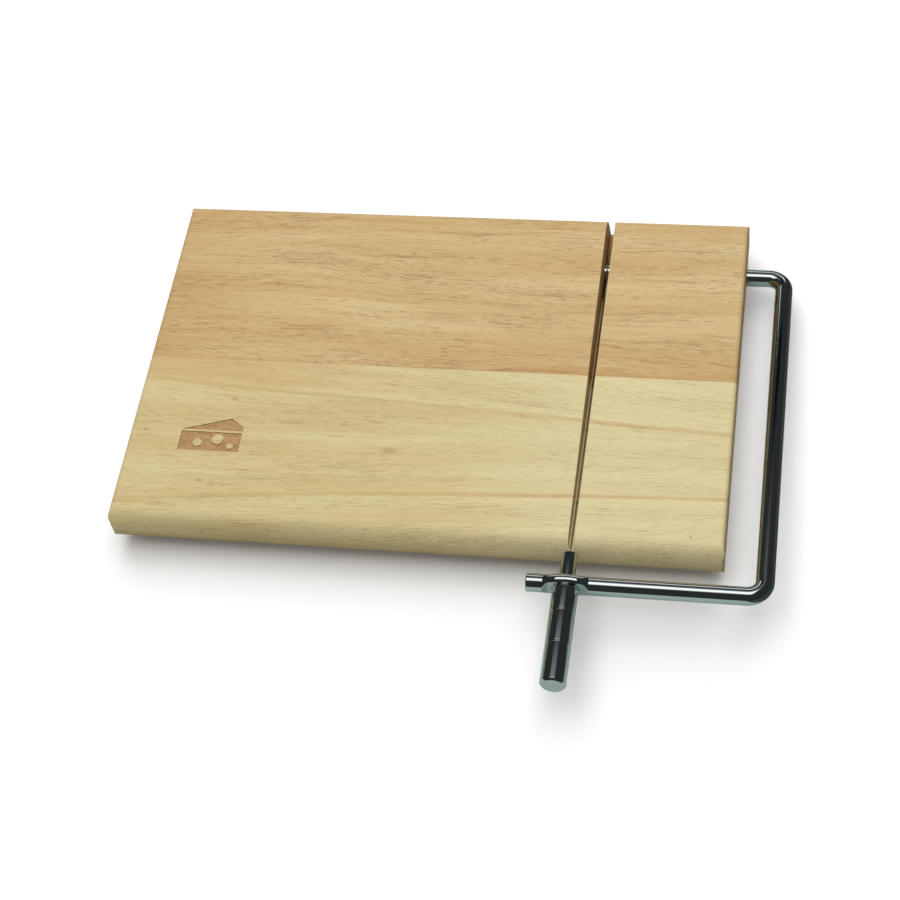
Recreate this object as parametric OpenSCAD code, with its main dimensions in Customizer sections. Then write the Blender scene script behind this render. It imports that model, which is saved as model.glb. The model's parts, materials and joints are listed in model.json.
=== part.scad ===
// Cheese board with a hinged wire cutter.
// Units are millimetres. The board lies flat with its grain along X and its front edge towards -Y.
// The origin is the centre of the whole object's footprint, at the level it stands on.

/* [Board] */
// Length of the board along the grain
board_l = 240; // [220:5:300]
// Width of the board from front to back
board_w = 163.5; // [140:0.5:200]
// Thickness of the board
board_t = 17.5; // [16:0.5:24]
// Width of the front stave, up to the glue line
front_stave_w = 80; // [60:0.5:90]
// Radius of the long upper edges at the front and back
long_edge_r = 6.5; // [4:0.5:7]
// Radius of the long lower edges at the front and back
long_under_r = 9; // [4:0.5:9]
// Radius of the upper edges at the two ends
end_edge_r = 2; // [1:0.5:4]
// Radius of the lower edges at the two ends
end_under_r = 5; // [2:0.5:6]
// Radius of the four upright corners
corner_r = 2.5; // [1:0.5:6]

/* [Cutting groove] */
// Distance of the cutting line from the left end
cut_x = 182.6; // [150:0.1:190]
// Width of the groove at the top of the board, by the hinge
groove_top_w = 3.4; // [2.6:0.1:5]
// Width of the groove at its floor
groove_floor_w = 1.8; // [1.4:0.1:2.4]
// Width of the plunged pocket around the wire's loop
pocket_w = 2; // [1.6:0.1:2.4]
// Radius of the cutter that plunges the pocket
pocket_r = 30; // [26:1:32]
// Depth of the pocket below the hinge axis
pocket_drop = 4.7; // [4.5:0.1:5]

/* [Branded mark] */
// Distance of the mark's centre from the left end
mark_x = 34; // [20:1:100]
// Distance of the mark's centre from the front edge
mark_y = 42.5; // [20:0.5:50]
// Length of the wedge in the mark
mark_l = 25; // [15:1:30]
// Depth the mark is burned into the wood
mark_depth = 0.3; // [0.1:0.1:0.6]

/* [Bow] */
// Diameter of the bent rod
rod_d = 7; // [6:0.5:7]
// Radius of the two bends, at the rod's centre line
bend_r = 6.5; // [6:0.5:12]
// Height of the hinge axis above the board's underside
bow_z = 7.5; // [6.5:0.5:8]
// Angle of the bow and its groove at rest, front end up
rest_tilt = 2.8; // [0:0.1:3]
// Distance of the hinge axis from the back edge
hinge_inset = 22.6; // [18:0.1:30]
// Length of the hinge pin past the cutting line
pin_past_cut = 21; // [12:1:40]
// Gap between the board's right end and the bow
side_gap = 12; // [8:0.5:20]
// Gap between the board's front edge and the bow, in the bow's own plane
front_gap = 11.5; // [11:0.1:16]
// Length of the short end past the centre of the eye
stub_l = 15; // [13:0.1:20]
// Play between the hinge pin and its hole, all round
hinge_play = 0.1; // [0.05:0.01:0.1]

/* [Eye] */
// Height of the flattened eye at its widest
eye_h = 10.6; // [9.6:0.1:11]
// Thickness of the flattened eye
eye_t = 4; // [3.4:0.1:5]
// Radius of the eye's upper and lower rims, across the thickness
rim_tube_r = 2.6; // [2.1:0.1:3]
// Length along the rod over which the eye is wider than the rod
eye_l = 17.2; // [15:0.1:18]
// Length of the full depth of the flats
flat_l = 12.4; // [11:0.1:13]
// Radius at which each flat runs out of the rod
runout_r = 3; // [2:0.5:4]

/* [Handle] */
// Diameter of the handle
handle_d = 9.8; // [9:0.1:14]
// Length of the handle
handle_l = 41.6; // [36:0.1:60]
// Chamfer at both ends of the handle
handle_chamfer = 0.8; // [0.3:0.1:1.2]
// Distance of the first turned ring from the eye
ring_1 = 11.3; // [8:0.1:14]
// Distance of the second turned ring from the eye
ring_2 = 25; // [18:0.1:30]
// Width of each turned ring
ring_w = 0.6; // [0.3:0.1:1]
// Depth of each turned ring
ring_depth = 0.3; // [0.1:0.05:0.5]

/* [Tension stud] */
// Diameter of the stud's plain shank
stud_d = 6; // [6:0.1:6.6]
// Length of shank on the board's side of the eye
stud_proud = 11.6; // [6:0.1:11.8]
// Length of shank inside the handle
shank_in = 5; // [4:0.5:6]
// Outer diameter of the thread
thread_d = 6; // [5:0.1:6]
// Pitch of the thread
thread_pitch = 1; // [0.8:0.1:1.25]
// Number of thread turns inside the handle
thread_turns = 16; // [10:1:18]
// Play between the stud and the holes it runs in, all round
stud_play = 0.1; // [0.05:0.01:0.1]

/* [Cutting wire] */
// Diameter of the wire
wire_d = 0.6; // [0.4:0.1:0.8]
// Length of the twist that closes the loop
twist_l = 9; // [6:0.5:9]
// Length of wire held inside the stud
wire_in = 6; // [4:0.5:7]

/* [Feet] */
// Diameter of each foot where it meets the board
foot_d = 13; // [10:1:18]
// Height of each foot
foot_h = 4; // [3.5:0.5:6]
// Distance of the feet from the board's edges
foot_inset = 15.5; // [12:0.5:17]
// Diameter of each foot screw's shank
screw_d = 3; // [2.5:0.1:3.5]
// Length of each foot screw under its head
screw_l = 10; // [8:0.5:10]

/* [Hidden] */
$fn = 96;

// Places measured from the board's left front corner and its underside
rod_r = rod_d / 2;
hinge_y = board_w - hinge_inset;
front_y = -front_gap - rod_r;
side_x = board_l + side_gap + rod_r;
seat_gap = 0.05;
handle_y = front_y - eye_t / 2 - seat_gap;
stud_y = front_y + eye_t / 2 + stud_proud;

// Centre of the footprint, which becomes the origin
handle_reach = hinge_y - handle_y + handle_l;
handle_end_y = hinge_y - handle_reach * cos(rest_tilt) - (handle_d / 2 - handle_chamfer) * sin(rest_tilt);
mid_x = (side_x + rod_r) / 2;
mid_y = (board_w + handle_end_y) / 2;

// Heights above the underside
floor_gap = 0.1;
groove_floor_z = bow_z - wire_d / 2 - floor_gap;
pocket_centre_z = bow_z - pocket_drop + pocket_r;

// Cutters reach this far past the faces they open
past = 1;

// Radii and depths of the holes inside the handle and the stud
stud_r = stud_d / 2;
thread_r = thread_d / 2;
thread_play = 0.05;
thread_depth = 0.45;
thread_crest = 0.3;
counterbore_l = shank_in + 2;
shank_l = stud_proud + eye_t + seat_gap + shank_in;
stud_l = shank_l + thread_pitch * thread_turns;
handle_bore_l = shank_in + thread_pitch * thread_turns + 3;
wire_hole_r = wire_d / 2 + 0.1;
wire_hole_l = wire_in + 3;

// Loop of the wire around the hinge pin
loop_gap = 0.05;
loop_r = rod_r + loop_gap + wire_d / 2;
twist_d = 2 * wire_d;

// Feet and their screws
foot_taper = 1;
head_d = 6;
head_h = 1.8;
recess_d = head_d + 1;
recess_h = 2.4;
screw_play = 0.02;
slot_w = 0.7;
slot_l = 3.2;
slot_depth = 0.9;
screw_tip_h = 2;

// Puts children, drawn from the board's left front corner, into the object's frame
module in_frame() {
    translate([-mid_x, -mid_y, foot_h]) children();
}

// Turns children, drawn with the bow lying flat, about the hinge axis into the place of rest
module at_rest() {
    translate([0, hinge_y, bow_z]) rotate([-rest_tilt, 0, 0]) translate([0, -hinge_y, -bow_z]) children();
}

// Rectangle with true round corners, the two nearest its base of one radius and the other two of another
module rounded_rect(w, h, low_r, high_r) {
    translate([low_r, 0]) square([w - 2 * low_r, h - high_r]);
    translate([high_r, low_r]) square([w - 2 * high_r, h - low_r]);
    translate([0, low_r]) square([w, h - low_r - high_r]);
    for (x = [low_r, w - low_r]) translate([x, low_r]) circle(low_r);
    for (x = [high_r, w - high_r]) translate([x, h - high_r]) circle(high_r);
}

// Plank with rounded edges all round, before it is grooved and drilled
module board_blank() {
    intersection() {
        rotate([90, 0, 90]) linear_extrude(board_l)
            rounded_rect(board_w, board_t, long_under_r, long_edge_r);
        translate([0, board_w, 0]) rotate([90, 0, 0])
            linear_extrude(board_w) rounded_rect(board_l, board_t, end_under_r, end_edge_r);
        linear_extrude(board_t) rounded_rect(board_l, board_w, corner_r, corner_r);
    }
}

// Tapered groove that the wire drops into, deepest at the back, open at the top, front and back
module groove_cutter() {
    rise = board_t - groove_floor_z;
    slope = (groove_top_w - groove_floor_w) / 2 / rise;
    high = rise + 3 * past;
    half_low = groove_floor_w / 2;
    half_high = half_low + slope * high;
    at_rest() translate([cut_x, board_w + 3 * past, groove_floor_z]) rotate([90, 0, 0])
        linear_extrude(board_w + 6 * past)
            polygon([[-half_low, 0], [half_low, 0], [half_high, high], [-half_high, high]]);
}

// Pocket around the hinge pin, where the wire's loop and twist turn
module pocket_cutter() {
    translate([cut_x - pocket_w / 2, hinge_y, pocket_centre_z]) rotate([0, 90, 0])
        cylinder(r = pocket_r, h = pocket_w);
}

// Blind hole for the hinge pin, drilled from the right end
module hinge_hole() {
    hole_end_x = cut_x - pin_past_cut - 1.5;
    translate([hole_end_x, hinge_y, bow_z]) rotate([0, 90, 0])
        cylinder(r = rod_r + hinge_play, h = board_l - hole_end_x + past);
}

// Centres of the four feet
foot_left = foot_inset;
foot_right = board_l - foot_inset;
foot_front = foot_inset;
foot_rear = board_w - foot_inset;

// Pilot hole for one foot screw
module pilot_hole(x, y) {
    translate([x, y, -past])
        cylinder(r = screw_d / 2 + screw_play, h = past + screw_l - foot_h + recess_h + 0.5);
}

// Wedge of cheese, a side face with three holes under a narrow top face
module wedge_outline() {
    face_h = mark_l * 0.36;
    line_w = mark_l * 0.035;
    top_h = mark_l * 0.24;
    translate([-mark_l / 2, -(face_h + line_w + top_h) / 2]) {
        difference() {
            square([mark_l, face_h]);
            translate([mark_l * 0.3, face_h * 0.42]) circle(mark_l * 0.075);
            translate([mark_l * 0.62, face_h * 0.62]) circle(mark_l * 0.095);
            translate([mark_l * 0.84, face_h * 0.3]) circle(mark_l * 0.055);
        }
        translate([0, face_h + line_w])
            polygon([[0, 0], [mark_l, 0], [mark_l, top_h * 0.35], [mark_l * 0.78, top_h]]);
    }
}

// Shallow recess of the mark
module mark_cutter() {
    translate([mark_x, mark_y, board_t - mark_depth]) linear_extrude(mark_depth + past) wedge_outline();
}

// Front stave of the board
module stave_front() {
    color("khaki") in_frame() difference() {
        intersection() {
            board_blank();
            cube([board_l, front_stave_w, board_t]);
        }
        groove_cutter();
        mark_cutter();
        for (x = [foot_left, foot_right]) pilot_hole(x, foot_front);
    }
}

// Rear stave of the board, with the hinge hole
module stave_rear() {
    color("burlywood") in_frame() difference() {
        intersection() {
            board_blank();
            translate([0, front_stave_w, 0]) cube([board_l, board_w - front_stave_w, board_t]);
        }
        groove_cutter();
        pocket_cutter();
        hinge_hole();
        for (x = [foot_left, foot_right]) pilot_hole(x, foot_rear);
    }
}

// Straight stretch of rod along X
module rod_x(x0, x1, y) {
    translate([x0, y, bow_z]) rotate([0, 90, 0]) cylinder(r = rod_r, h = x1 - x0);
}

// Quarter bend of the rod around a centre, starting at an angle
module rod_bend(x, y, start) {
    translate([x, y, bow_z]) rotate([0, 0, start]) rotate_extrude(angle = 90)
        translate([bend_r, 0]) circle(rod_r);
}

// Radius of the eye's upper and lower rims, which meet the rod's surface at both ends
eye_rise = eye_h / 2 - rod_r;
eye_rim_r = (eye_l * eye_l / 4 + eye_rise * eye_rise) / (2 * eye_rise);

// Flattened metal of the eye, a lens shape with crowned rims
module eye_plate() {
    core_r = eye_rim_r - rim_tube_r;
    rim_span = 2 * asin(eye_l / 2 / eye_rim_r) + 3;
    translate([cut_x, front_y, bow_z]) rotate([90, 0, 0]) {
        translate([0, 0, -eye_t / 2]) linear_extrude(eye_t) intersection_for(side = [-1, 1])
            translate([0, side * (eye_rim_r - eye_h / 2)]) circle(core_r, $fn = 256);
        for (side = [-1, 1]) translate([0, side * (eye_rim_r - eye_h / 2), 0])
            rotate([0, 0, -side * 90 - rim_span / 2]) rotate_extrude(angle = rim_span, $fn = 256)
                intersection() {
                    translate([core_r, 0]) circle(rim_tube_r, $fn = 64);
                    translate([core_r - rim_tube_r, -eye_t / 2]) square([2 * rim_tube_r, eye_t]);
                }
    }
}

// Metal pressed away on one side of the eye, with round run-outs
module flat_cutter(side) {
    deep = rod_d;
    translate([cut_x, front_y + side * eye_t / 2, bow_z - rod_d]) linear_extrude(2 * rod_d) {
        translate([-flat_l / 2, side > 0 ? 0 : -deep]) square([flat_l, deep]);
        for (x = [-flat_l / 2, flat_l / 2]) translate([x, side * runout_r]) circle(runout_r);
    }
}

// Bent rod with its hinge pin, flattened eye and short end
module bow() {
    turn_x = side_x - bend_r;
    stub_x = cut_x - stub_l;
    color("silver") in_frame() at_rest() difference() {
        union() {
            difference() {
                union() {
                    rod_x(cut_x - pin_past_cut, turn_x, hinge_y);
                    rod_bend(turn_x, hinge_y - bend_r, 0);
                    translate([side_x, hinge_y - bend_r, bow_z]) rotate([90, 0, 0])
                        cylinder(r = rod_r, h = hinge_y - front_y - 2 * bend_r);
                    rod_bend(turn_x, front_y + bend_r, -90);
                    rod_x(stub_x, turn_x, front_y);
                }
                for (side = [-1, 1]) flat_cutter(side);
            }
            eye_plate();
        }
        translate([cut_x, front_y + eye_h, bow_z]) rotate([90, 0, 0])
            cylinder(r = stud_r + stud_play, h = 2 * eye_h);
    }
}

// Outline of one turned ring, at a distance along the handle
function ring_points(z) = [
    [handle_d / 2, z - ring_w / 2],
    [handle_d / 2 - ring_depth, z],
    [handle_d / 2, z + ring_w / 2]
];

// Handle, a long nut that bears on the eye and draws the stud in
module handle() {
    r = handle_d / 2;
    bore_r = thread_r + thread_play;
    outline = concat(
        [[0, handle_l], [0, handle_bore_l + bore_r / 2], [bore_r, handle_bore_l], [bore_r, counterbore_l],
         [stud_r + stud_play, counterbore_l], [stud_r + stud_play, 0], [r - handle_chamfer, 0],
         [r, handle_chamfer]],
        ring_points(ring_1),
        ring_points(ring_2),
        [[r, handle_l - handle_chamfer], [r - handle_chamfer, handle_l]]
    );
    color("dimgray") in_frame() at_rest() translate([cut_x, handle_y, bow_z]) rotate([90, 0, 0])
        rotate_extrude() polygon(outline);
}

// Outline of one thread turn, at a distance along the stud
function thread_points(z) = [
    [thread_r - thread_depth, z],
    [thread_r, z + (thread_pitch - thread_crest) / 2],
    [thread_r, z + (thread_pitch + thread_crest) / 2]
];

// Stud that holds the wire's end, smooth through the eye and threaded inside the handle
module tension_stud() {
    chamfer = 0.5;
    outline = concat(
        [[wire_hole_r, 0], [stud_r - chamfer, 0], [stud_r, chamfer], [stud_r, shank_l - chamfer],
         [stud_r - chamfer, shank_l]],
        [for (i = [0 : thread_turns - 1]) each thread_points(shank_l + i * thread_pitch)],
        [[thread_r - thread_depth, stud_l], [0, stud_l], [0, wire_hole_l], [wire_hole_r, wire_hole_l]]
    );
    color("gray") in_frame() at_rest() translate([cut_x, stud_y, bow_z]) rotate([90, 0, 0])
        rotate_extrude() polygon(outline);
}

// Cutting wire, looped around the hinge pin, twisted closed and held in the stud
module cutting_wire() {
    twist_y = hinge_y - loop_r;
    color("lightgray") in_frame() at_rest() {
        translate([cut_x, hinge_y, bow_z]) rotate([0, 90, 0]) rotate_extrude()
            translate([loop_r, 0]) circle(wire_d / 2, $fn = 32);
        translate([cut_x, twist_y, bow_z]) rotate([90, 0, 0]) cylinder(d = twist_d, h = twist_l);
        translate([cut_x, twist_y, bow_z]) rotate([90, 0, 0])
            cylinder(d = wire_d, h = twist_y - stud_y + wire_in);
    }
}

// Rubber foot with a recess for its screw, drawn from the table up
module foot(x, y) {
    r = foot_d / 2;
    color("darkslategray") in_frame() translate([x, y, -foot_h]) rotate_extrude() polygon([
        [recess_d / 2, 0], [r - foot_taper - 0.5, 0], [r - foot_taper, 0.5], [r, foot_h],
        [screw_d / 2 + screw_play, foot_h], [screw_d / 2 + screw_play, recess_h], [recess_d / 2, recess_h]
    ]);
}

// Round-headed wood screw that holds one foot
module foot_screw(x, y) {
    translate([x, y, recess_h - foot_h]) difference() {
        rotate_extrude() polygon([
            [0, -head_h], [head_d / 2 - 0.9, -head_h], [head_d / 2, -head_h + 0.9], [head_d / 2, 0],
            [screw_d / 2, 0], [screw_d / 2, screw_l - screw_tip_h], [0, screw_l]
        ]);
        for (turn = [0, 90]) rotate([0, 0, turn]) translate([-slot_l / 2, -slot_w / 2, -head_h - past])
            cube([slot_l, slot_w, slot_depth + past]);
    }
}

// The four foot screws
module foot_screws() {
    color("lightsteelblue") in_frame()
        for (x = [foot_left, foot_right], y = [foot_front, foot_rear]) foot_screw(x, y);
}

stave_front();
stave_rear();
bow();
handle();
tension_stud();
cutting_wire();
foot(foot_left, foot_front);  // foot_front_left
foot(foot_right, foot_front);  // foot_front_right
foot(foot_left, foot_rear);  // foot_rear_left
foot(foot_right, foot_rear);  // foot_rear_right
foot_screws();
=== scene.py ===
"""Looks of the cheese board with its hinged wire bow. Lengths in the helpers are millimetres in the board's
own frame: X from the left end, Y from the front edge, Z from the underside."""
import json
import math
import bmesh
import bpy
from mathutils import Matrix, Vector


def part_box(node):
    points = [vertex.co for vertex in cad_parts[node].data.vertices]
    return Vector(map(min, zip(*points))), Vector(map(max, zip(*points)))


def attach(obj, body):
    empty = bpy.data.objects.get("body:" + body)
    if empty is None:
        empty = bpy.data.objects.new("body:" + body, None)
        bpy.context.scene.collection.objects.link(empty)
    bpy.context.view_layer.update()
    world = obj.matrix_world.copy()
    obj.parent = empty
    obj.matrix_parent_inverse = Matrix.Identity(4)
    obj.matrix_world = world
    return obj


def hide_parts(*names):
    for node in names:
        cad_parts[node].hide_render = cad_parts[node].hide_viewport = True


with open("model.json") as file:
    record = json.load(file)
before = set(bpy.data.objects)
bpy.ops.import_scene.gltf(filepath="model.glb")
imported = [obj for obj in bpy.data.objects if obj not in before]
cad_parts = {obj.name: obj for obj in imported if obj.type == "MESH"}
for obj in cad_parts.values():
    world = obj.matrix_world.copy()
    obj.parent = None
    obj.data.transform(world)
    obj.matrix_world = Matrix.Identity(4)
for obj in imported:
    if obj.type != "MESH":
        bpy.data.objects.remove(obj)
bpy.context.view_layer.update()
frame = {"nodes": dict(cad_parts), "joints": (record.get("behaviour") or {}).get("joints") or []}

MM = 0.001
FRONT_LOW, FRONT_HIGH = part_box("stave_front")
BOARD_L = (FRONT_HIGH.x - FRONT_LOW.x) / MM
BOARD_T = (FRONT_HIGH.z - FRONT_LOW.z) / MM
GLUE_Y = (FRONT_HIGH.y - FRONT_LOW.y) / MM
JOINTS = {j["name"]: j for j in frame["joints"]}


def to_board(point):
    """A point of the frame, in millimetres from the board's left front corner and underside."""
    return (Vector(point) - FRONT_LOW) / MM


def to_frame(point):
    return Vector(point) * MM + FRONT_LOW


HINGE = to_board(JOINTS["bow_hinge"]["pos_m"])
CUT_X = HINGE.x
BOW_Z = HINGE.z

# The bow rests with its front end up. It and what it carries are drawn lying flat, and then turned about
# the hinge by this angle.
HANDLE_AXIS = Vector(JOINTS["handle_turn"]["axis"])
TILT = math.atan2(-HANDLE_AXIS.z, HANDLE_AXIS.y)
AT_REST = Matrix.Translation(HINGE) @ Matrix.Rotation(-TILT, 4, "X") @ Matrix.Translation(-HINGE)


def at_rest(mesh):
    """Turns a mesh of the flat bow to where the bow rests."""
    mesh.transform(AT_REST)
    return mesh


BOW_LOW, BOW_HIGH = (to_board(corner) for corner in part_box("bow"))
HANDLE_LOW, HANDLE_HIGH = (to_board(corner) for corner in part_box("handle"))
SEAT_Y = (AT_REST.inverted() @ to_board(JOINTS["handle_turn"]["pos_m"])).y


# ---------------------------------------------------------------- shader helpers
def srgb(red, green, blue):
    """A colour as it looks on screen, 0 to 255, turned into shader values."""
    def linear(value):
        value /= 255
        return value / 12.92 if value <= 0.04045 else ((value + 0.055) / 1.055) ** 2.4
    return (linear(red), linear(green), linear(blue), 1.0)


class Shader:
    """A material under construction. Values passed in are numbers, colours or sockets."""

    def __init__(self, name):
        self.material = bpy.data.materials.new(name)
        self.material.use_nodes = True
        self.tree = self.material.node_tree
        self.tree.nodes.clear()
        self.bsdf = self.add("ShaderNodeBsdfPrincipled")
        output = self.add("ShaderNodeOutputMaterial")
        self.tree.links.new(self.bsdf.outputs[0], output.inputs["Surface"])
        self.object = self.add("ShaderNodeTexCoord").outputs["Object"]

    def add(self, kind, **settings):
        node = self.tree.nodes.new(kind)
        for key, value in settings.items():
            setattr(node, key, value)
        return node

    def put(self, socket, value):
        if isinstance(value, bpy.types.NodeSocket):
            self.tree.links.new(value, socket)
        elif value is not None:
            socket.default_value = value

    def set(self, **values):
        """Sets the surface's inputs, named with underscores for spaces."""
        for key, value in values.items():
            self.put(self.bsdf.inputs[key.replace("_", " ")], value)

    def calc(self, operation, a, b=None):
        node = self.add("ShaderNodeMath", operation=operation)
        for socket, value in zip(node.inputs, (a, b)):
            self.put(socket, value)
        return node.outputs[0]

    def plus(self, a, b):
        return self.calc("ADD", a, b)

    def times(self, a, b):
        return self.calc("MULTIPLY", a, b)

    def vector(self, operation, a, b):
        node = self.add("ShaderNodeVectorMath", operation=operation)
        self.put(node.inputs[0], a)
        self.put(node.inputs[1], b)
        return node.outputs[0]

    def split(self, vector):
        node = self.add("ShaderNodeSeparateXYZ")
        self.put(node.inputs[0], vector)
        return node.outputs[0], node.outputs[1], node.outputs[2]

    def join(self, x, y, z):
        node = self.add("ShaderNodeCombineXYZ")
        for socket, value in zip(node.inputs, (x, y, z)):
            self.put(socket, value)
        return node.outputs[0]

    def smooth(self, value, low, high, start=0.0, end=1.0):
        node = self.add("ShaderNodeMapRange", interpolation_type="SMOOTHSTEP")
        for socket, number in zip(node.inputs, (value, low, high, start, end)):
            self.put(socket, number)
        return node.outputs[0]

    def noise(self, place, scale, detail=2.0, rough=0.5, shift=(0, 0, 0)):
        """Noise stretched by scale, in features per millimetre along X, Y and Z."""
        moved = self.vector("ADD", self.vector("MULTIPLY", place, scale), shift)
        node = self.add("ShaderNodeTexNoise")
        self.put(node.inputs["Vector"], moved)
        node.inputs["Scale"].default_value = 1.0
        node.inputs["Detail"].default_value = detail
        node.inputs["Roughness"].default_value = rough
        return node.outputs[0]

    def mix(self, factor, a, b, blend="MIX"):
        node = self.add("ShaderNodeMix", data_type="RGBA", blend_type=blend)
        self.put(node.inputs[0], factor)
        self.put(node.inputs[6], a)
        self.put(node.inputs[7], b)
        return node.outputs[2]

    def bump(self, height, distance, strength):
        node = self.add("ShaderNodeBump")
        node.inputs["Strength"].default_value = strength
        node.inputs["Distance"].default_value = distance * MM
        self.put(node.inputs["Height"], height)
        return node.outputs[0]

    def millimetres(self, low):
        """The place on the surface in millimetres from a corner."""
        return self.vector("MULTIPLY", self.vector("SUBTRACT", self.object, tuple(low)), (1 / MM,) * 3)


# ---------------------------------------------------------------- wood
def spot(s, x, y, place, size, soft):
    """1 inside an oval on the board's top, falling to 0 at its edge."""
    across = s.times(s.plus(x, -place[0]), 1 / size[0])
    along = s.times(s.plus(y, -place[1]), 1 / size[1])
    far = s.calc("SQRT", s.plus(s.times(across, across), s.times(along, along)))
    return s.smooth(far, soft, 1.0, 1.0, 0.0)


# Places across the grain are counted so that the glue line between the staves lies here.
GLUE_AT = 74.5
# The burned pictogram on the front stave: its middle and half its size.
MARK_X, MARK_Y, MARK_HALF_L, MARK_HALF_W = 34.0, 37.0, 14.0, 10.0
# Small dark spots on the front stave's top: place, half lengths along and across the grain, strength.
KNOTS = (((6.5, 37.8), (2.6, 1.0), 0.6), ((40.1, 54.6), (2.4, 0.9), 0.7), ((107.0, 33.5), (5.5, 2.6), 0.5),
         ((33.6, 14.9), (2.2, 0.8), 0.6), ((227.2, 2.2), (1.1, 0.6), 0.9))


def wood(name, rear):
    """Oiled wood with its grain along X: growth bands, fibre streaks and open pores, in solid 3-D."""
    s = Shader(name)
    place = s.millimetres(FRONT_LOW)
    x, y, z = s.split(place)
    y = s.plus(y, GLUE_AT - GLUE_Y)
    seed = (31.7, 8.2, 4.4) if rear else (3.1, 57.9, 12.6)

    # Slow wander of the grain, and on the front stave a fan of lines that close towards the right.
    wander = s.plus(s.noise(place, (0.011, 0.035, 0.035), 2.0, 0.5, seed), -0.5)
    ripple = s.plus(s.noise(place, (0.045, 0.09, 0.09), 2.0, 0.5, seed), -0.5)
    bend = s.plus(s.times(wander, 13.0), s.times(ripple, 1.2))
    t = s.times(x, 1 / BOARD_L)
    if rear:
        grain_y = s.plus(y, bend)
    else:
        opened = s.plus(y, s.times(t, -16.4))
        grain_y = s.plus(s.calc("DIVIDE", opened, s.plus(s.times(t, -0.482), 1.0)), bend)
    grain = s.join(x, grain_y, s.plus(z, s.times(ripple, 1.6)))

    # Growth bands round a pith below the board.
    pith_y, pith_z, spacing = (150.0, -102.0, 5.2) if rear else (36.0, -59.0, 3.7)
    dy = s.plus(grain_y, -pith_y)
    dz = s.plus(z, -pith_z)
    radius = s.calc("SQRT", s.plus(s.times(dy, dy), s.times(dz, dz)))
    uneven = s.times(s.noise(grain, (0.004, 0.03, 0.03), 3.0, 0.55, seed), 4.0)
    band = s.calc("FRACT", s.plus(s.times(radius, 1 / spacing), uneven))
    late = s.times(s.smooth(band, 0.25, 0.86), s.smooth(band, 0.86, 1.0, 1.0, 0.0))

    # Streaks from broad to fine, then long pores in two sizes.
    broad = s.noise(grain, (0.0065, 0.085, 0.085), 4.0, 0.55, seed)
    streak = s.noise(grain, (0.016, 0.42, 0.42), 5.0, 0.62, seed)
    fibre = s.noise(grain, (0.035, 2.4, 2.4), 4.0, 0.6, seed)
    vessel = s.noise(grain, (0.05, 1.5, 1.5), 2.0, 0.4, (seed[2], seed[0], seed[1]))
    pore = s.noise(grain, (0.20, 3.4, 3.4), 1.5, 0.4, (seed[1], seed[2], seed[0]))
    crowd = s.smooth(s.noise(grain, (0.012, 0.11, 0.11), 3.0, 0.5, (7.7, 1.3, 2.9)), 0.38, 0.68)
    line_low = s.plus(s.times(crowd, -0.08), 0.645)
    vessels = s.smooth(vessel, line_low, s.plus(line_low, 0.09))
    pores = s.smooth(pore, s.plus(line_low, -0.03), s.plus(line_low, 0.05))

    if rear:
        pale, tan, dark = srgb(208, 184, 132), srgb(199, 170, 116), srgb(187, 148, 94)
        brown, pore_colour = srgb(150, 106, 60), srgb(128, 90, 54)
    else:
        pale, tan, dark = srgb(210, 196, 145), srgb(202, 184, 131), srgb(196, 167, 111)
        brown, pore_colour = srgb(162, 122, 70), srgb(146, 110, 66)

    colour = s.mix(s.smooth(broad, 0.36, 0.62), pale, tan)
    colour = s.mix(s.times(late, 0.16 if rear else 0.24), colour, dark)
    colour = s.mix(s.times(s.smooth(streak, 0.50, 0.74), 0.62 if rear else 0.38), colour, dark)
    colour = s.mix(s.times(s.smooth(streak, 0.47, 0.28), 0.35), colour, pale)

    # Coloured bands that belong to these two boards; on the front stave also a paler right end, partly the
    # wood's own tone and partly a painted sheen.
    shaken = s.times(s.plus(streak, -0.5), 9.0)
    if not rear:
        # Paler towards the right end: partly the wood's own tone, partly a painted sheen.
        colour = s.mix(s.smooth(x, 112.0, 190.0, 0.0, 0.55), colour, srgb(219, 208, 162))
    if rear:
        back = s.times(s.smooth(s.plus(y, shaken), 142.0, 158.0), 0.55)
        joint = s.times(s.smooth(s.plus(y, shaken), 91.0, 76.0), s.smooth(x, 55.0, 130.0, 0.25, 0.85))
        left = s.smooth(s.plus(x, s.times(shaken, 4.0)), 46.0, -6.0, 0.0, 0.6)
        from_heart = s.calc("ABSOLUTE", s.plus(s.plus(y, -95.5), s.times(shaken, 0.4)))
        heart_length = s.times(s.smooth(x, 4.0, 24.0), s.smooth(x, 92.0, 62.0))
        heart = s.times(s.smooth(from_heart, 3.2, 0.2), heart_length)
        for amount in (back, joint, left, s.times(heart, 0.7)):
            colour = s.mix(s.times(amount, s.smooth(streak, 0.34, 0.66, 0.45, 1.0)), colour, dark)
    else:
        rise = s.plus(s.times(s.calc("EXPONENT", s.times(x, -1 / 150)), -20.0), 23.4)
        low_band = s.plus(s.plus(y, s.times(rise, -1.0)), s.times(shaken, 0.32))
        high_band = s.plus(s.plus(y, s.plus(s.times(t, 14.5), -63.5)), s.times(shaken, 0.4))
        for distance, width, amount in ((low_band, 1.6, 0.85), (high_band, 1.9, 0.8)):
            line = s.times(s.smooth(s.calc("ABSOLUTE", distance), width, 0.1), amount)
            colour = s.mix(s.times(line, s.smooth(streak, 0.30, 0.62, 0.5, 1.0)), colour, dark)
        corner = s.times(s.smooth(high_band, 0.0, 4.0), s.smooth(x, 118.0, 34.0))
        colour = s.mix(s.times(corner, 0.75), colour, srgb(201, 168, 114))
        top_only = s.smooth(z, BOARD_T - 9.0, BOARD_T - 3.0)
        wobbly = s.plus(y, s.times(s.plus(fibre, -0.5), 1.5))
        for where, size, amount in KNOTS:
            knot = s.times(s.times(spot(s, x, wobbly, where, size, 0.15), top_only), amount)
            colour = s.mix(knot, colour, brown)

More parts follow.
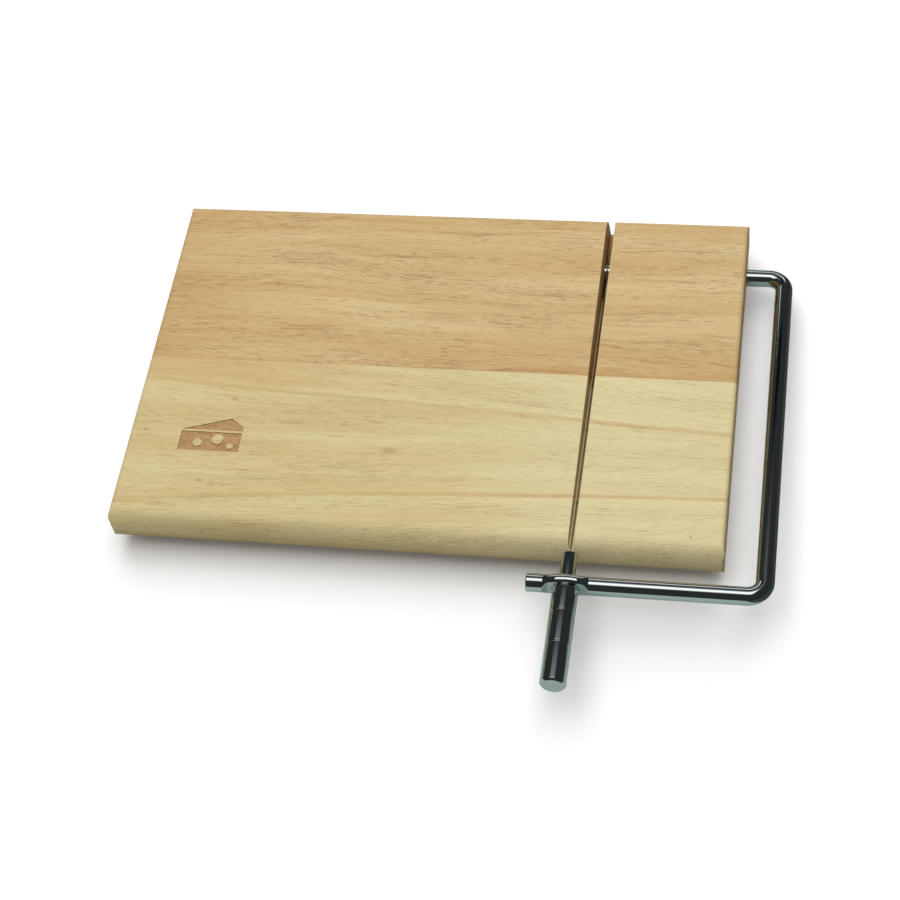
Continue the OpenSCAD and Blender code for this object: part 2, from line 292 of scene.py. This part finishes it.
    colour = s.mix(s.times(s.smooth(fibre, 0.54, 0.80), 0.42), colour, brown)
    colour = s.mix(s.times(vessels, 0.40 if rear else 0.32), colour, brown)
    colour = s.mix(s.times(pores, 0.42 if rear else 0.34), colour, pore_colour)

    # End grain soaks up more oil and looks darker, and a little of that shows in the saw-cut groove.
    facing = s.add("ShaderNodeTexCoord").outputs["Normal"]
    end_x = s.calc("ABSOLUTE", s.split(facing)[0])
    from_middle = s.calc("ABSOLUTE", s.plus(x, -BOARD_L / 2))
    at_end = s.smooth(from_middle, BOARD_L / 2 - 3.5, BOARD_L / 2 - 1.5, 0.25, 0.55)
    end = s.smooth(end_x, 0.55, 0.92)
    colour = s.mix(s.times(end, at_end), colour, s.mix(1.0, colour, srgb(176, 138, 92), "MULTIPLY"))

    # Painted shade: the colour darkens towards the underside, standing in for the shade on the lower
    # roundings and faces.
    painted_shade_low = s.smooth(z, BOARD_T - 3.5, 2.0, 0.0, 0.9)
    colour = s.mix(painted_shade_low, colour, s.mix(1.0, colour, srgb(214, 198, 178), "MULTIPLY"))

    # A hair line of glue where the two staves meet.
    seam = s.smooth(s.calc("ABSOLUTE", s.plus(y, -GLUE_AT)), 0.22, 0.05)
    colour = s.mix(s.times(seam, 0.38), colour, brown)

    height = s.plus(s.times(vessels, -0.6), s.plus(s.times(pores, -0.5), s.times(fibre, 0.5)))
    rough = s.plus(s.smooth(streak, 0.3, 0.7, 0.40, 0.50), s.times(end, 0.14))
    if not rear:
        # The burned pictogram: everything below the top's surface inside its oblong.
        mark_far_x = s.calc("ABSOLUTE", s.plus(x, -MARK_X))
        mark_far_y = s.calc("ABSOLUTE", s.plus(y, -MARK_Y))
        inside = s.times(s.smooth(mark_far_x, MARK_HALF_L, MARK_HALF_L - 0.1),
                         s.smooth(mark_far_y, MARK_HALF_W, MARK_HALF_W - 0.1))
        sunk = s.times(inside, s.smooth(z, BOARD_T - 0.03, BOARD_T - 0.12))
        sunk = s.times(sunk, s.smooth(z, BOARD_T - 4.0, BOARD_T - 3.0))
        char = s.noise(place, (0.5, 0.7, 0.7), 4.0, 0.65, seed)
        burn = s.mix(s.smooth(char, 0.35, 0.68), srgb(180, 138, 92), srgb(148, 104, 64))
        burn = s.mix(s.times(s.smooth(z, BOARD_T - 0.27, BOARD_T - 0.1), 0.6), burn, srgb(92, 56, 32))
        colour = s.mix(s.times(sunk, 0.84), colour, burn)
        rough = s.plus(rough, s.times(sunk, 0.2))
    s.set(Base_Color=colour, Roughness=rough, Normal=s.bump(height, 0.05, 0.55))
    s.set(Specular_IOR_Level=0.42, IOR=1.46)
    return s.material


# ---------------------------------------------------------------- metals and rubber
def chrome(name, tint, rough, marks):
    """Bright plating with a slight waviness, faint rubbing marks and dull patches from handling."""
    s = Shader(name)
    place = s.vector("MULTIPLY", s.object, (1 / MM,) * 3)
    smear = s.noise(place, (0.10, 0.10, 0.10), 5.0, 0.65, (4.0, 2.0, 9.0))
    grit = s.noise(place, (2.4, 2.4, 2.4), 3.0, 0.6, (1.0, 7.0, 3.0))
    scratch = s.noise(place, marks, 3.0, 0.7, (5.0, 5.0, 1.0))
    worn = s.smooth(smear, 0.50, 0.75)
    colour = s.mix(s.times(worn, 0.3), tint, tuple(c * 0.88 for c in tint[:3]) + (1.0,))
    dull = s.plus(s.times(worn, 0.02), s.times(s.smooth(scratch, 0.62, 0.75), 0.03))
    wave = s.noise(place, (0.28, 0.28, 0.28), 2.0, 0.5, (8.0, 1.0, 6.0))
    height = s.plus(s.times(wave, 1.0), s.plus(s.times(grit, 0.05), s.times(scratch, 0.03)))
    s.set(Base_Color=colour, Metallic=1.0, Roughness=s.plus(dull, rough), Normal=s.bump(height, 0.02, 0.6))
    return s.material


def rubber():
    s = Shader("foot_rubber")
    place = s.vector("MULTIPLY", s.object, (1 / MM,) * 3)
    grain = s.noise(place, (3.0, 3.0, 3.0), 4.0, 0.6)
    patch = s.noise(place, (0.25, 0.25, 0.25), 3.0, 0.6)
    dust = s.smooth(s.plus(s.split(place)[2], s.times(patch, 2.0)), 2.4, 0.6)
    colour = s.mix(s.smooth(patch, 0.35, 0.7), srgb(38, 37, 36), srgb(52, 50, 48))
    colour = s.mix(s.times(dust, 0.35), colour, srgb(120, 114, 104))
    s.set(Base_Color=colour, Roughness=s.smooth(grain, 0.3, 0.7, 0.62, 0.8), Normal=s.bump(grain, 0.06, 0.6))
    return s.material


def zinc():
    s = Shader("screw_zinc")
    place = s.vector("MULTIPLY", s.object, (1 / MM,) * 3)
    crystal = s.noise(place, (1.1, 1.1, 1.1), 4.0, 0.6)
    stain = s.smooth(s.noise(place, (0.5, 0.5, 0.5), 3.0, 0.6, (3.0, 3.0, 3.0)), 0.5, 0.75)
    colour = s.mix(s.times(stain, 0.5), srgb(196, 196, 192), srgb(176, 164, 132))
    s.set(Base_Color=colour, Metallic=1.0, Roughness=s.smooth(crystal, 0.3, 0.7, 0.24, 0.40),
          Normal=s.bump(crystal, 0.03, 0.5))
    return s.material


# ---------------------------------------------------------------- mesh helpers
def clean(mesh, near=0.0005):
    """Joins points that coincide, and drops the faces that this leaves without an area."""
    bmesh.ops.remove_doubles(mesh, verts=mesh.verts, dist=near)
    bmesh.ops.dissolve_degenerate(mesh, edges=mesh.edges, dist=near)


def piece(name, mesh, body, slot, material, *nodes, sharp=40.0):
    """Shows a finished mesh, in board millimetres, in place of CAD nodes."""
    clean(mesh)
    data = bpy.data.meshes.new(name)
    mesh.to_mesh(data)
    mesh.free()
    data.transform(Matrix.Translation(FRONT_LOW) @ Matrix.Scale(MM, 4))
    data.shade_smooth()
    data.set_sharp_from_angle(angle=math.radians(sharp))
    obj = bpy.data.objects.new(name, data)
    bpy.context.scene.collection.objects.link(obj)
    data.materials.append(material)
    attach(obj, body)
    if nodes:
        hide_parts(*nodes)
    return obj


def skin(mesh, rings):
    """Joins rings of points with quads. The two ends are closed with a fan round their middle."""
    loops = [[mesh.verts.new(point) for point in ring] for ring in rings]
    count = len(loops[0])
    for here, there in zip(loops, loops[1:]):
        for i in range(count):
            j = (i + 1) % count
            mesh.faces.new((here[i], here[j], there[j], there[i]))
    for loop in (loops[0], loops[-1]):
        middle = mesh.verts.new(sum((v.co for v in loop), Vector()) / count)
        for i in range(count):
            mesh.faces.new((loop[i], loop[(i + 1) % count], middle))
    bmesh.ops.recalc_face_normals(mesh, faces=mesh.faces)


def lathe(outline, start, count=96):
    """Turns an outline of (radius, distance) about an axis that runs from start towards -Y."""
    mesh = bmesh.new()
    rings = []
    for radius, along in outline:
        rings.append([Vector((start[0] + radius * math.cos(2 * math.pi * i / count), start[1] - along,
                              start[2] + radius * math.sin(2 * math.pi * i / count))) for i in range(count)])
    skin(mesh, rings)
    return mesh


def rounded(outline, radius, steps=4):
    """Softens the corners of an outline with small arcs. Its two ends stay as they are."""
    result = [Vector(outline[0])]
    for before, corner, after in zip(outline, outline[1:], outline[2:]):
        before, corner, after = Vector(before), Vector(corner), Vector(after)
        reach = min(radius, (before - corner).length * 0.45, (after - corner).length * 0.45)
        one = corner + (before - corner).normalized() * reach
        two = corner + (after - corner).normalized() * reach
        for k in range(steps + 1):
            u = k / steps
            result.append(one * (1 - u) ** 2 + corner * 2 * u * (1 - u) + two * u ** 2)
    result.append(Vector(outline[-1]))
    return result


def tube(points, radius, count):
    """A round tube along a smooth line of points, carried along without twist."""
    points = [Vector(p) for p in points]
    ways = [(b - a).normalized() for a, b in zip([points[0]] + points[:-1], points[1:] + [points[-1]])]
    ways[0] = (points[1] - points[0]).normalized()
    ways[-1] = (points[-1] - points[-2]).normalized()
    side = Vector((1, 0, 0)) if abs(ways[0].x) < 0.9 else Vector((0, 0, 1))
    side = (side - ways[0] * side.dot(ways[0])).normalized()
    rings = []
    for point, way in zip(points, ways):
        side = (side - way * side.dot(way)).normalized()
        other = way.cross(side)
        rings.append([point + (side * math.cos(2 * math.pi * i / count)
                               + other * math.sin(2 * math.pi * i / count)) * radius for i in range(count)])
    mesh = bmesh.new()
    skin(mesh, rings)
    return mesh


# ---------------------------------------------------------------- the bow
# Sizes that the CAD's boxes do not give are copied from the CAD's source, here and below. The rounded
# ends, soft rims, small chamfers round holes and the drill point are chosen here.
ROD_R, BEND_R, STUB_L = 3.5, 6.5, 15.0
END_ROUND = 0.5
SIDE_X = BOW_HIGH.x - ROD_R
FRONT_Y = HINGE.y - (HINGE.y - BOW_LOW.y - ROD_R) / math.cos(TILT)
REAR_Y = HINGE.y
PIN_X = BOW_LOW.x
STUB_X = CUT_X - STUB_L
# The eye, its pressed flats, and the radius of its rim, which grows to the rod's from RIM_FROM on.
EYE_H, EYE_T, EYE_L = 10.6, 4.0, 17.2
FLAT_L, RUNOUT_R, RIM_TUBE_R = 12.4, 3.0, 2.6
RIM_FROM, RIM_SOFT = 5.0, 0.16
# The eye's hole for the stud. Its cutter sticks out past both faces.
BORE_R, BORE_CHAMFER, BORE_OVER = 3.1, 0.25, 1.0


def softer(a, b, width):
    """The smaller of two numbers, rounded off where they are close."""
    h = max(width - abs(a - b), 0.0) / width
    return min(a, b) - h * h * width * 0.25


def bow_section(along, angle):
    """The rod's reach from its centre line. The place along it is counted from the eye's middle."""
    far = abs(along)
    rise = EYE_H / 2 - ROD_R
    arc = (EYE_L ** 2 / 4 + rise ** 2) / (2 * rise)
    half_h = ROD_R if far >= EYE_L / 2 else math.sqrt(arc ** 2 - far ** 2) - arc + EYE_H / 2
    u = min(max((far - RIM_FROM) / (EYE_L / 2 - RIM_FROM), 0.0), 1.0)
    tube_r = RIM_TUBE_R + (ROD_R - RIM_TUBE_R) * u * u * (3 - 2 * u)
    lift = half_h - tube_r
    up, out = abs(math.sin(angle)), abs(math.cos(angle))
    rim = lift * up + math.sqrt(max(tube_r ** 2 - (lift * out) ** 2, 0.0))
    past = far - FLAT_L / 2
    if past >= RUNOUT_R:
        return rim
    half_t = EYE_T / 2 if past <= 0 else EYE_T / 2 + RUNOUT_R - math.sqrt(RUNOUT_R ** 2 - past ** 2)
    return softer(rim, half_t / max(out, 1e-6), RIM_SOFT)


def end_shrink(inset):
    """The rod's radius near one of its rounded ends, as a share of the full one."""
    if inset >= END_ROUND:
        return 1.0
    return 1 - END_ROUND / ROD_R * (1 - math.sqrt(1 - (1 - inset / END_ROUND) ** 2))


def bow_mesh():
    """The whole rod as one skin: pin, two bends, both arms, the pressed eye and the short end."""
    count = 144
    stations = []

    def straight(a, b, steps):
        for k in range(steps + 1):
            u = k / steps
            stations.append((Vector(a).lerp(Vector(b), u), (Vector(b) - Vector(a)).normalized(), 1.0))

    def bend(centre, start, steps=28):
        for k in range(1, steps):
            turn = math.radians(start - 90.0 * k / steps)
            out = Vector((math.cos(turn), math.sin(turn), 0))
            stations.append((Vector(centre) + out * BEND_R, Vector((out.y, -out.x, 0)), 1.0))

    z = BOW_Z
    turn_x = SIDE_X - BEND_R
    for inset in (0.0, 0.12, 0.3, END_ROUND):
        stations.append((Vector((PIN_X + inset, REAR_Y, z)), Vector((1, 0, 0)), end_shrink(inset)))
    straight((PIN_X + 2, REAR_Y, z), (turn_x, REAR_Y, z), 24)
    bend((turn_x, REAR_Y - BEND_R, z), 90.0)
    straight((SIDE_X, REAR_Y - BEND_R, z), (SIDE_X, FRONT_Y + BEND_R, z), 30)
    bend((turn_x, FRONT_Y + BEND_R, z), 0.0)
    # The rings lie close together up to this far on each side of the eye's middle.
    coarse, fine = 10.0, 9.85
    straight((turn_x, FRONT_Y, z), (CUT_X + coarse, FRONT_Y, z), 16)
    straight((CUT_X + fine, FRONT_Y, z), (CUT_X - fine, FRONT_Y, z), 132)
    straight((CUT_X - coarse, FRONT_Y, z), (STUB_X + END_ROUND + 0.05, FRONT_Y, z), 8)
    for inset in (END_ROUND, 0.36, 0.22, 0.1, 0.03, 0.0):
        stations.append((Vector((STUB_X + inset, FRONT_Y, z)), Vector((-1, 0, 0)), end_shrink(inset)))
    rings = []
    up = Vector((0, 0, 1))
    for point, way, shrink in stations:
        side = up.cross(way)
        on_front = abs(point.y - FRONT_Y) < 0.01 and way.x < -0.9
        ring = []
        for i in range(count):
            angle = 2 * math.pi * i / count
            reach = bow_section(point.x - CUT_X, angle) if on_front else ROD_R
            ring.append(point + (side * math.cos(angle) + up * math.sin(angle)) * reach * shrink)
        rings.append(ring)
    mesh = bmesh.new()
    skin(mesh, rings)
    return mesh


def cut(obj, cutter):
    """Takes one closed mesh, in board millimetres, out of a piece."""
    data = bpy.data.meshes.new("cutter")
    cutter.to_mesh(data)
    cutter.free()
    data.transform(Matrix.Translation(FRONT_LOW) @ Matrix.Scale(MM, 4))
    tool = bpy.data.objects.new("cutter", data)
    bpy.context.scene.collection.objects.link(tool)
    modifier = obj.modifiers.new("cut", "BOOLEAN")
    modifier.operation, modifier.solver, modifier.object = "DIFFERENCE", "EXACT", tool
    bpy.context.view_layer.update()
    result = bpy.data.meshes.new_from_object(obj.evaluated_get(bpy.context.evaluated_depsgraph_get()))
    obj.modifiers.clear()
    old, obj.data = obj.data, result
    bpy.data.meshes.remove(old)
    bpy.data.objects.remove(tool)
    bpy.data.meshes.remove(data)


CHROME = chrome("bow_chrome", (0.60, 0.645, 0.64, 1.0), 0.06, (0.35, 0.35, 0.35))
GRIP = chrome("handle_chrome", (0.58, 0.625, 0.62, 1.0), 0.09, (2.2, 0.35, 2.2))
bow = piece("bow_rod", at_rest(bow_mesh()), "bow", "chrome", CHROME, "bow")
in_chamfer = BORE_OVER + BORE_CHAMFER
bore = [(BORE_R + in_chamfer, 0.0), (BORE_R + BORE_CHAMFER, BORE_OVER), (BORE_R, in_chamfer),
        (BORE_R, BORE_OVER + EYE_T - BORE_CHAMFER), (BORE_R + BORE_CHAMFER, BORE_OVER + EYE_T),
        (BORE_R + in_chamfer, EYE_T + 2 * BORE_OVER)]
cut(bow, at_rest(lathe(bore, (CUT_X, FRONT_Y + EYE_T / 2 + BORE_OVER, BOW_Z))))
bow.data.set_sharp_from_angle(angle=math.radians(40))

# ---------------------------------------------------------------- the handle
HANDLE_R = (HANDLE_HIGH.x - HANDLE_LOW.x) / 2
CHAMFER, RING_W, RING_DEPTH = 0.8, 0.6, 0.3
RINGS = (25.0, 11.3)
HANDLE_EDGE_R, STUD_EDGE_R = 0.16, 0.12
# Inside: a plain mouth as wide as the eye's hole, then the bore for the thread and its drill point.
MOUTH_L, THREAD_BORE_R, THREAD_BORE_L, DRILL_POINT = 7.0, 3.05, 24.0, 1.5
END_R = HANDLE_R - CHAMFER
HANDLE_L = (HANDLE_HIGH.y - HANDLE_LOW.y - 2 * END_R * math.sin(TILT)) / math.cos(TILT)
outer = [(0.0, HANDLE_L), (END_R, HANDLE_L), (HANDLE_R, HANDLE_L - CHAMFER)]
for ring in RINGS:
    outer += [(HANDLE_R, ring + RING_W / 2), (HANDLE_R - RING_DEPTH, ring), (HANDLE_R, ring - RING_W / 2)]
outer += [(HANDLE_R, CHAMFER), (END_R, 0.0), (BORE_R, 0.0), (BORE_R, MOUTH_L), (THREAD_BORE_R, MOUTH_L),
          (THREAD_BORE_R, THREAD_BORE_L), (0.0, THREAD_BORE_L + DRILL_POINT)]
piece("handle_grip", at_rest(lathe(rounded(outer, HANDLE_EDGE_R), (CUT_X, SEAT_Y, BOW_Z), 128)),
      "handle", "chrome", GRIP, "handle", sharp=50.0)

# ---------------------------------------------------------------- the tension stud
STUD_R, STUD_CHAMFER = 3.0, 0.5
# How far it stands out behind the eye, and how far its smooth shank reaches into the handle.
STUD_PROUD, SHANK_IN = 11.6, 5.0
# The hole for the wire's end, and its slightly flared mouth.
HOLE_R, HOLE_L, FLARE_R, FLARE_L = 0.4, 9.0, 0.62, 0.25
# The thread is a row of plain rings, one for each turn. Each ring's crest lies between two shares of a turn.
THREAD_R, THREAD_DEPTH, THREAD_PITCH, THREAD_TURNS = 3.0, 0.45, 1.0, 16
CREST_FROM, CREST_TO = 0.35, 0.65
STUD_Y = FRONT_Y + EYE_T / 2 + STUD_PROUD
SHANK_L = STUD_Y - SEAT_Y + SHANK_IN
shank = [(0.0, HOLE_L), (HOLE_R, HOLE_L), (HOLE_R, FLARE_L), (FLARE_R, 0.0), (STUD_R - STUD_CHAMFER, 0.0),
         (STUD_R, STUD_CHAMFER), (STUD_R, SHANK_L - STUD_CHAMFER), (STUD_R - STUD_CHAMFER, SHANK_L)]
for turn in range(THREAD_TURNS):
    at = SHANK_L + turn * THREAD_PITCH
    shank += [(THREAD_R - THREAD_DEPTH, at), (THREAD_R, at + CREST_FROM * THREAD_PITCH),
              (THREAD_R, at + CREST_TO * THREAD_PITCH)]
thread_end = SHANK_L + THREAD_TURNS * THREAD_PITCH
shank += [(THREAD_R - THREAD_DEPTH, thread_end), (0.0, thread_end)]
piece("tension_stud_turned", at_rest(lathe(rounded(shank, STUD_EDGE_R, 3), (CUT_X, STUD_Y, BOW_Z), 96)),
      "stud", "chrome", GRIP, "tension_stud", sharp=50.0)

# ---------------------------------------------------------------- the cutting wire
WIRE_R, LOOP_R, TWIST_L = 0.3, 3.85, 9.0
# How far the wire's end reaches into the stud, and how far in front of the loop the twist ends.
WIRE_IN, KNOT_GAP = 6.0, 2.6
# Where the straight part stops short of the twist, and the share of the twist that the tail covers.
LEAD_GAP, TAIL_SHARE = 4.0, 0.93
WIRE_END_Y = STUD_Y - WIRE_IN


def wire_line():
    """From inside the stud to the twist, through it, round the hinge pin and back through the twist."""
    y0, z0 = HINGE.y, HINGE.z
    knot_y = y0 - LOOP_R
    first, last = knot_y - TWIST_L, knot_y - KNOT_GAP
    turns = 3.25
    steps = 24
    lead = first - LEAD_GAP - WIRE_END_Y
    line = [(CUT_X, WIRE_END_Y + lead * k / steps, z0) for k in range(steps + 1)]

    def strand(share, phase):
        grow = min(1.0, share * 5.0 + 0.02)
        grow = grow * grow * (3 - 2 * grow)
        angle = phase + 2 * math.pi * turns * share
        return (CUT_X + WIRE_R * grow * math.cos(angle), first + (last - first) * share,
                z0 + WIRE_R * grow * math.sin(angle))

    steps = 90
    end_angle = 2 * math.pi * turns
    phase = math.pi / 2 - end_angle
    line += [strand(k / steps, phase) for k in range(steps + 1)]
    gap = y0 - last
    touch = math.acos(LOOP_R / gap)
    for k in range(1, 6):
        u = k / 6
        target = (y0 - LOOP_R * math.cos(touch), z0 + LOOP_R * math.sin(touch))
        line.append((CUT_X, last + (target[0] - last) * u, z0 + WIRE_R + (target[1] - z0 - WIRE_R) * u))
    steps = 60
    for k in range(steps + 1):
        angle = math.pi - touch - (2 * math.pi - 2 * touch) * k / steps
        line.append((CUT_X, y0 + LOOP_R * math.cos(angle), z0 + LOOP_R * math.sin(angle)))
    for k in range(1, 6):
        u = 1 - k / 6
        target = (y0 - LOOP_R * math.cos(touch), z0 - LOOP_R * math.sin(touch))
        line.append((CUT_X, last + (target[0] - last) * u, z0 - WIRE_R + (target[1] - z0 + WIRE_R) * u))
    steps = 84
    for k in range(steps + 1):
        share = 1 - TAIL_SHARE * k / steps
        angle = phase + math.pi + 2 * math.pi * turns * share
        line.append((CUT_X + WIRE_R * math.cos(angle), first + (last - first) * share,
                     z0 + WIRE_R * math.sin(angle)))
    return line


STEEL = chrome("wire_steel", (0.56, 0.57, 0.57, 1.0), 0.16, (3.0, 0.3, 3.0))
piece("cutting_wire_twisted", at_rest(tube(wire_line(), WIRE_R, 16)),
      "bow", "wire_steel", STEEL, "cutting_wire")

# ---------------------------------------------------------------- materials of the pieces kept from the CAD
for node, material in (("stave_front", wood("wood_front", False)), ("stave_rear", wood("wood_rear", True)),
                       ("foot_screws", zinc())):
    for material_slot in frame["nodes"][node].material_slots:
        material_slot.material = material
RUBBER = rubber()
for corner in ("front_left", "front_right", "rear_left", "rear_right"):
    for material_slot in frame["nodes"]["foot_" + corner].material_slots:
        material_slot.material = RUBBER

# ---------------------------------------------------------------- floor, light and camera, in metres
def output_of(s, shader):
    """Gives a material another surface than its own."""
    s.tree.nodes.remove(s.bsdf)
    s.put(next(n for n in s.tree.nodes if n.type == "OUTPUT_MATERIAL").inputs["Surface"], shader)


bpy.ops.mesh.primitive_circle_add(vertices=96, radius=6.0, fill_type="NGON", location=(0, 0, 0))
floor = bpy.context.object
floor.name = "floor"
s = Shader("floor_paper")
bounce = s.add("ShaderNodeBsdfDiffuse")
bounce.inputs["Color"].default_value = (0.66, 0.66, 0.66, 1)
paper = s.add("ShaderNodeBsdfDiffuse")
paper.inputs["Color"].default_value = (1.05, 1.05, 1.05, 1)
# The floor is paper white to the camera, greyer as a source of bounced light, and in the chrome a pale
# sheet that ends beside the bow, with a dark table past it.
sheet = s.smooth(s.split(s.object)[0], 0.142, 0.128)
shown = s.add("ShaderNodeBsdfDiffuse")
s.put(shown.inputs["Color"], s.mix(sheet, (0.06, 0.065, 0.065, 1), (0.44, 0.54, 0.505, 1)))
path = s.add("ShaderNodeLightPath")
seen, blend = s.add("ShaderNodeMixShader"), s.add("ShaderNodeMixShader")
ray_choices = ((seen, "Is Camera Ray", bounce, paper), (blend, "Is Glossy Ray", seen, shown))
for mixer, ray, without, with_ray in ray_choices:
    for socket, value in zip(mixer.inputs, (path.outputs[ray], without.outputs[0], with_ray.outputs[0])):
        s.put(socket, value)
output_of(s, blend.outputs[0])
floor.data.materials.append(s.material)


def glow_panel(name, corner, along, up, strength):
    """A glowing sheet that only reflections show. Its strength is a function of the place up the sheet."""
    data = bpy.data.meshes.new(name)
    corner, along, up = Vector(corner), Vector(along), Vector(up)
    data.from_pydata([corner, corner + along, corner + along + up, corner + up], [], [(0, 1, 2, 3)])
    panel = bpy.data.objects.new(name, data)
    bpy.context.scene.collection.objects.link(panel)
    panel.visible_camera = panel.visible_diffuse = panel.visible_shadow = False
    s = Shader(name)
    glow = s.add("ShaderNodeEmission")
    s.put(glow.inputs["Strength"], strength(s, s.split(s.object)))
    output_of(s, glow.outputs[0])
    data.materials.append(s.material)


def ceiling(s, at):
    """Bright over the board, fading towards the back."""
    bright = s.times(s.smooth(at[1], -0.24, -0.10), s.smooth(at[1], 0.38, 0.27))
    return s.plus(s.times(bright, 1.25), s.smooth(at[1], 0.98, 0.30, 0.0, 0.26))


glow_panel("ceiling_panel", (-0.42, -0.3, 1.0), (0.74, 0, 0), (0, 1.3, 0), ceiling)
glow_panel("back_panel", (-0.8, 1.2, 0.3), (1.3, 0, 0), (0, 0, 0.7),
           lambda s, at: s.times(s.times(s.smooth(at[2], 0.38, 0.56), s.smooth(at[2], 0.98, 0.84)), 0.85))


def softbox(name, place, aim, size, radiance):
    """A rectangular studio light that lights surfaces but is not seen in the chrome."""
    light = bpy.data.lights.new(name, "AREA")
    light.shape, light.size, light.size_y = "RECTANGLE", size[0], size[1]
    light.energy = radiance * math.pi * size[0] * size[1]
    obj = bpy.data.objects.new(name, light)
    bpy.context.scene.collection.objects.link(obj)
    obj.location = place
    obj.rotation_euler = (Vector(aim) - Vector(place)).to_track_quat("-Z", "Y").to_euler()
    obj.visible_glossy = False


softbox("top_light", (-0.3, 0.0, 3.0), (0, 0, 0), (2.7, 2.7), 2.0)
softbox("key_light", (-0.25, 2.1, 2.1), (0, 0, 0), (3.4, 2.6), 1.85)

world = bpy.data.worlds.new("studio")
bpy.context.scene.world = world
world.use_nodes = True
tree = world.node_tree
tree.nodes.clear()
rays = tree.nodes.new("ShaderNodeLightPath")


def background(colour, strength):
    node = tree.nodes.new("ShaderNodeBackground")
    node.inputs["Color"].default_value = colour
    node.inputs["Strength"].default_value = strength
    return node


# The world lights surfaces softly, is nearly dark in reflections and white behind the scene.
fill = background((1.0, 1.0, 1.0, 1.0), 0.36)
dark = background((0.9, 1.0, 1.0, 1.0), 0.035)
white = background((1.0, 1.0, 1.0, 1.0), 1.0)
one, two = tree.nodes.new("ShaderNodeMixShader"), tree.nodes.new("ShaderNodeMixShader")
tree.links.new(rays.outputs["Is Glossy Ray"], one.inputs[0])
tree.links.new(fill.outputs[0], one.inputs[1])
tree.links.new(dark.outputs[0], one.inputs[2])
tree.links.new(rays.outputs["Is Camera Ray"], two.inputs[0])
tree.links.new(one.outputs[0], two.inputs[1])
tree.links.new(white.outputs[0], two.inputs[2])
tree.links.new(two.outputs[0], tree.nodes.new("ShaderNodeOutputWorld").inputs[0])

camera = bpy.data.cameras.new("camera")
camera.sensor_width, camera.lens = 36.0, 79.763
camera.clip_start, camera.clip_end = 0.01, 50.0
view = bpy.data.objects.new("camera", camera)
bpy.context.scene.collection.objects.link(view)
# Where the camera stands, in board millimetres, and the way it looks: round from +Y, down, and rolled.
CAMERA_PLACE = (266.12, -386.18, 654.23)
azimuth, down, roll = (math.radians(a) for a in (-17.5486, 54.8708, -11.4392))
ahead = Vector((math.sin(azimuth) * math.cos(down), math.cos(azimuth) * math.cos(down), -math.sin(down)))
level = ahead.cross(Vector((0, 0, 1))).normalized()
upward = level.cross(ahead)
right = level * math.cos(roll) + upward * math.sin(roll)
top = upward * math.cos(roll) - level * math.sin(roll)
turned = Matrix((right, top, -ahead)).transposed().to_4x4()
view.matrix_world = Matrix.Translation(to_frame(CAMERA_PLACE)) @ turned
bpy.context.scene.camera = view
bpy.context.scene.view_settings.view_transform = "Standard"
